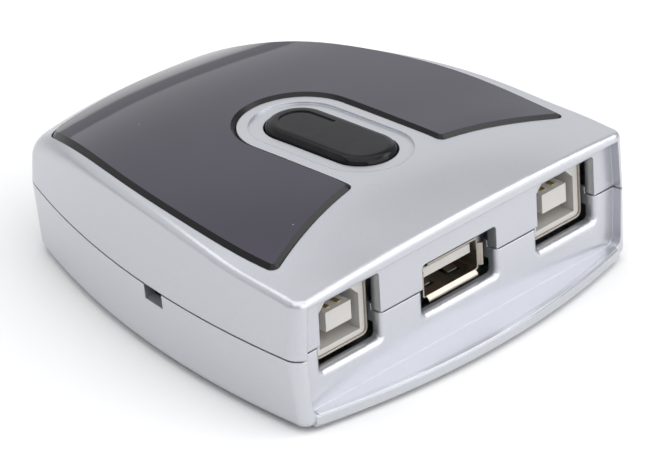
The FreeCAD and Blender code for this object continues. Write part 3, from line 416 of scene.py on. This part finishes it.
def label_foil(underside):
    """Matt foil label with a blank printed frame and plain rules."""
    margin = 1.6 * MM       # edge of the label to the middle of the frame line
    line = 0.22 * MM        # half the width of a printed line, with its soft edge
    soft = 0.06 * MM
    corner = 0.2 * MM       # the frame lines end this far past their middle
    rule_pitch = 4 * MM
    rule_reach = 10.6 * MM
    ink = (0.03, 0.03, 0.035, 1.0)
    finish = Finish("label_foil", underside.foil, 0.42, metallic=0.35)
    low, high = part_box("rating_label")
    middle = (low + high) / 2
    frame_x, frame_y, _ = (high - low) / 2 - Vector((margin, margin, 0.0))
    across = abs(finish.axis(0) - middle.x)
    along = finish.axis(1) - middle.y
    inside_x = finish.between(across, frame_x + corner, frame_x + corner / 2)
    inside_y = finish.between(abs(along), frame_y + corner, frame_y + corner / 2)
    sides = finish.between(abs(across - frame_x), line, line - soft) * inside_y
    ends = finish.between(abs(abs(along) - frame_y), line, line - soft) * inside_x
    rules = finish.between(finish.fold(along, rule_pitch / 2), line, line - 0.1 * MM)
    rules = rules * finish.between(across, rule_reach, rule_reach - 0.1 * MM)
    printed = finish.larger(finish.larger(sides, ends), rules)
    fibre = finish.noise(0.3 * MM, 3.0, finish.stretch(0.1, 1.0, 1.0))
    foil = finish.tint(0.88, 1.08, fibre)
    finish.feed("Base Color", finish.mix(printed * 0.85, foil, ink))
    finish.feed("Roughness", 0.36 + 0.14 * fibre)
    finish.feed("Normal", finish.bump(fibre, 0.004 * MM, 0.5))
    return finish


# ---------------------------------------------------------------------------
# Operators
# ---------------------------------------------------------------------------
class SWITCH_OT_case(bpy.types.Operator):
    """Paint the two shells"""

    bl_idname = "sharing_switch.case"
    bl_label = "Case"

    def execute(self, context):
        case = context.scene.switch_case
        cover(["top_shell"], silver_paint("silver_paint_top", case.paint, case))
        # The lower shell takes a lighter copy of the same silver paint: painted light.
        cover(["bottom_shell"], silver_paint("silver_paint_bottom_painted_lighter", case.lower_paint_painted_lighter, case))
        return {"FINISHED"}


class SWITCH_OT_panel(bpy.types.Operator):
    """Finish the smoked panel"""

    bl_idname = "sharing_switch.panel"
    bl_label = "Smoked panel"

    def execute(self, context):
        cover(["smoked_panel"], smoked_plastic(context.scene.switch_panel))
        return {"FINISHED"}


class SWITCH_OT_button(bpy.types.Operator):
    """Finish the button cap"""

    bl_idname = "sharing_switch.button"
    bl_label = "Button"

    def execute(self, context):
        cover(["button_cap"], button_gloss(context.scene.switch_button))
        return {"FINISHED"}


class SWITCH_OT_sockets(bpy.types.Operator):
    """Finish the metal, plastic and contacts of the three sockets"""

    bl_idname = "sharing_switch.sockets"
    bl_label = "Sockets"

    def execute(self, context):
        sockets = context.scene.switch_sockets
        places = ("usb_b_left", "usb_b_right", "usb_a")
        metal = plated_metal("socket_metal", sockets.metal, 0.26)
        plastic = moulded_plastic("socket_plastic", sockets.plastic, 0.42)
        gold = plated_metal("contact_gold", sockets.gold, 0.22)
        cover([place + "_shell" for place in places], metal)
        cover([place + "_insulator" for place in places], plastic)
        cover([place + "_contacts" for place in places], gold)
        return {"FINISHED"}


class SWITCH_OT_inside(bpy.types.Operator):
    """Finish the circuit board, its parts and the lights"""

    bl_idname = "sharing_switch.inside"
    bl_label = "Inside"

    def execute(self, context):
        inside = context.scene.switch_inside
        tin = plated_metal("tin", inside.tin, 0.34)
        epoxy = moulded_plastic("chip_epoxy", inside.epoxy, 0.5)
        cover(["circuit_board"], solder_mask(inside))
        cover(["hub_chip_leads", "switch_terminals", "crystal", "capacitors", "switch_cover"], tin)
        cover(["hub_chip", "chip_resistors", "switch_body", "switch_plunger"], epoxy)
        cover(["led_left", "led_right", "light_guide_left", "light_guide_right"], light_plastic(inside))
        return {"FINISHED"}


class SWITCH_OT_underside(bpy.types.Operator):
    """Finish the feet, the screws and the label"""

    bl_idname = "sharing_switch.underside"
    bl_label = "Underside"

    def execute(self, context):
        underside = context.scene.switch_underside
        feet = ["foot_front_left", "foot_front_right", "foot_rear_left", "foot_rear_right"]
        cover(feet, moulded_plastic("rubber", underside.rubber, 0.85, 0.25 * MM, 0.3 * MM))
        zinc = plated_metal("screw_zinc", underside.zinc, 0.3, (1.0, 1.0, 0.1))
        cover(["case_screws", "board_screws"], zinc)
        cover(["rating_label"], label_foil(underside))
        return {"FINISHED"}


def softbox(name, direction, width, height, brightness):
    """Rectangular light along a direction from the target, with the given brightness."""
    lamp = bpy.data.lights.new(name, "AREA")
    lamp.shape = "RECTANGLE"
    lamp.size = width
    lamp.size_y = height
    lamp.energy = brightness * math.pi * width * height
    thing = bpy.data.objects.new(name, lamp)
    bpy.context.scene.collection.objects.link(thing)
    outward = Vector(direction).normalized()
    thing.location = LIGHT_TARGET + outward * LIGHT_DISTANCE
    thing.rotation_euler = (-outward).to_track_quat("-Z", "Y").to_euler()


def make_floor(studio):
    """Wide plain floor under the feet."""
    mesh = bpy.data.meshes.new("floor")
    shape = bmesh.new()
    bmesh.ops.create_grid(shape, x_segments=1, y_segments=1, size=FLOOR_HALF_WIDTH)
    shape.to_mesh(mesh)
    shape.free()
    floor = bpy.data.objects.new("floor", mesh)
    bpy.context.scene.collection.objects.link(floor)
    finish = Finish("floor_paper", studio.floor, 0.9)
    finish.feed("Base Color", finish.tint(0.985, 1.0, finish.noise(0.15, 2.0)))
    mesh.materials.append(finish.material)


def make_camera(studio):
    """Long-lens camera placed by its aim point, directions and distance."""
    turn = studio.azimuth
    rise = studio.elevation
    back = Vector((
        math.sin(turn) * math.cos(rise),
        -math.cos(turn) * math.cos(rise),
        math.sin(rise),
    ))
    level = Vector((math.cos(turn), math.sin(turn), 0.0))
    above = back.cross(level)
    right = level * math.cos(studio.roll) + above * math.sin(studio.roll)
    up = above * math.cos(studio.roll) - level * math.sin(studio.roll)
    camera = bpy.data.objects.new("camera", bpy.data.cameras.new("camera"))
    camera.data.lens = studio.lens
    camera.data.sensor_width = 36.0
    camera.data.clip_start = 0.01
    place = Vector(studio.aim) + back * studio.distance
    axes = Matrix((right, up, back)).transposed().to_4x4()
    camera.matrix_world = Matrix.Translation(place) @ axes
    bpy.context.scene.collection.objects.link(camera)
    bpy.context.scene.camera = camera


def make_room(studio):
    """Even dim light from the room itself."""
    world = bpy.data.worlds.new("room")
    world.use_nodes = True
    background = world.node_tree.nodes["Background"]
    background.inputs[0].default_value = (0.97, 0.98, 1.0, 1.0)
    background.inputs[1].default_value = studio.room
    bpy.context.scene.world = world


class SWITCH_OT_studio(bpy.types.Operator):
    """Set up the floor, the soft lights and the camera"""

    bl_idname = "sharing_switch.studio"
    bl_label = "Studio"

    def execute(self, context):
        studio = context.scene.switch_studio
        make_floor(studio)
        make_camera(studio)
        for name, light in LIGHTS.items():
            softbox(name, *light)
        make_room(studio)
        context.scene.view_settings.view_transform = "Standard"
        return {"FINISHED"}


class SWITCH_PT_sidebar(bpy.types.Panel):
    """Lists the steps that dress the switch"""

    bl_idname = "SWITCH_PT_sidebar"
    bl_label = "Sharing switch"
    bl_space_type = "VIEW_3D"
    bl_region_type = "UI"
    bl_category = "Switch"

    def draw(self, context):
        for operator in OPERATORS:
            self.layout.operator(operator.bl_idname)


GROUPS = {
    "switch_case": SwitchCase,
    "switch_panel": SwitchPanel,
    "switch_button": SwitchButton,
    "switch_sockets": SwitchSockets,
    "switch_inside": SwitchInside,
    "switch_underside": SwitchUnderside,
    "switch_studio": SwitchStudio,
}
OPERATORS = (
    SWITCH_OT_case,
    SWITCH_OT_panel,
    SWITCH_OT_button,
    SWITCH_OT_sockets,
    SWITCH_OT_inside,
    SWITCH_OT_underside,
    SWITCH_OT_studio,
)


def register():
    for name, group in GROUPS.items():
        bpy.utils.register_class(group)
        setattr(bpy.types.Scene, name, PointerProperty(type=group))
    for operator in OPERATORS:
        bpy.utils.register_class(operator)
    bpy.utils.register_class(SWITCH_PT_sidebar)


def unregister():
    bpy.utils.unregister_class(SWITCH_PT_sidebar)
    for operator in reversed(OPERATORS):
        bpy.utils.unregister_class(operator)
    for name, group in reversed(list(GROUPS.items())):
        delattr(bpy.types.Scene, name)
        bpy.utils.unregister_class(group)


def main():
    register()
    steps = bpy.ops.sharing_switch
    steps.case()
    steps.panel()
    steps.button()
    steps.sockets()
    steps.inside()
    steps.underside()
    steps.studio()


if __name__ == "__main__":
    main()
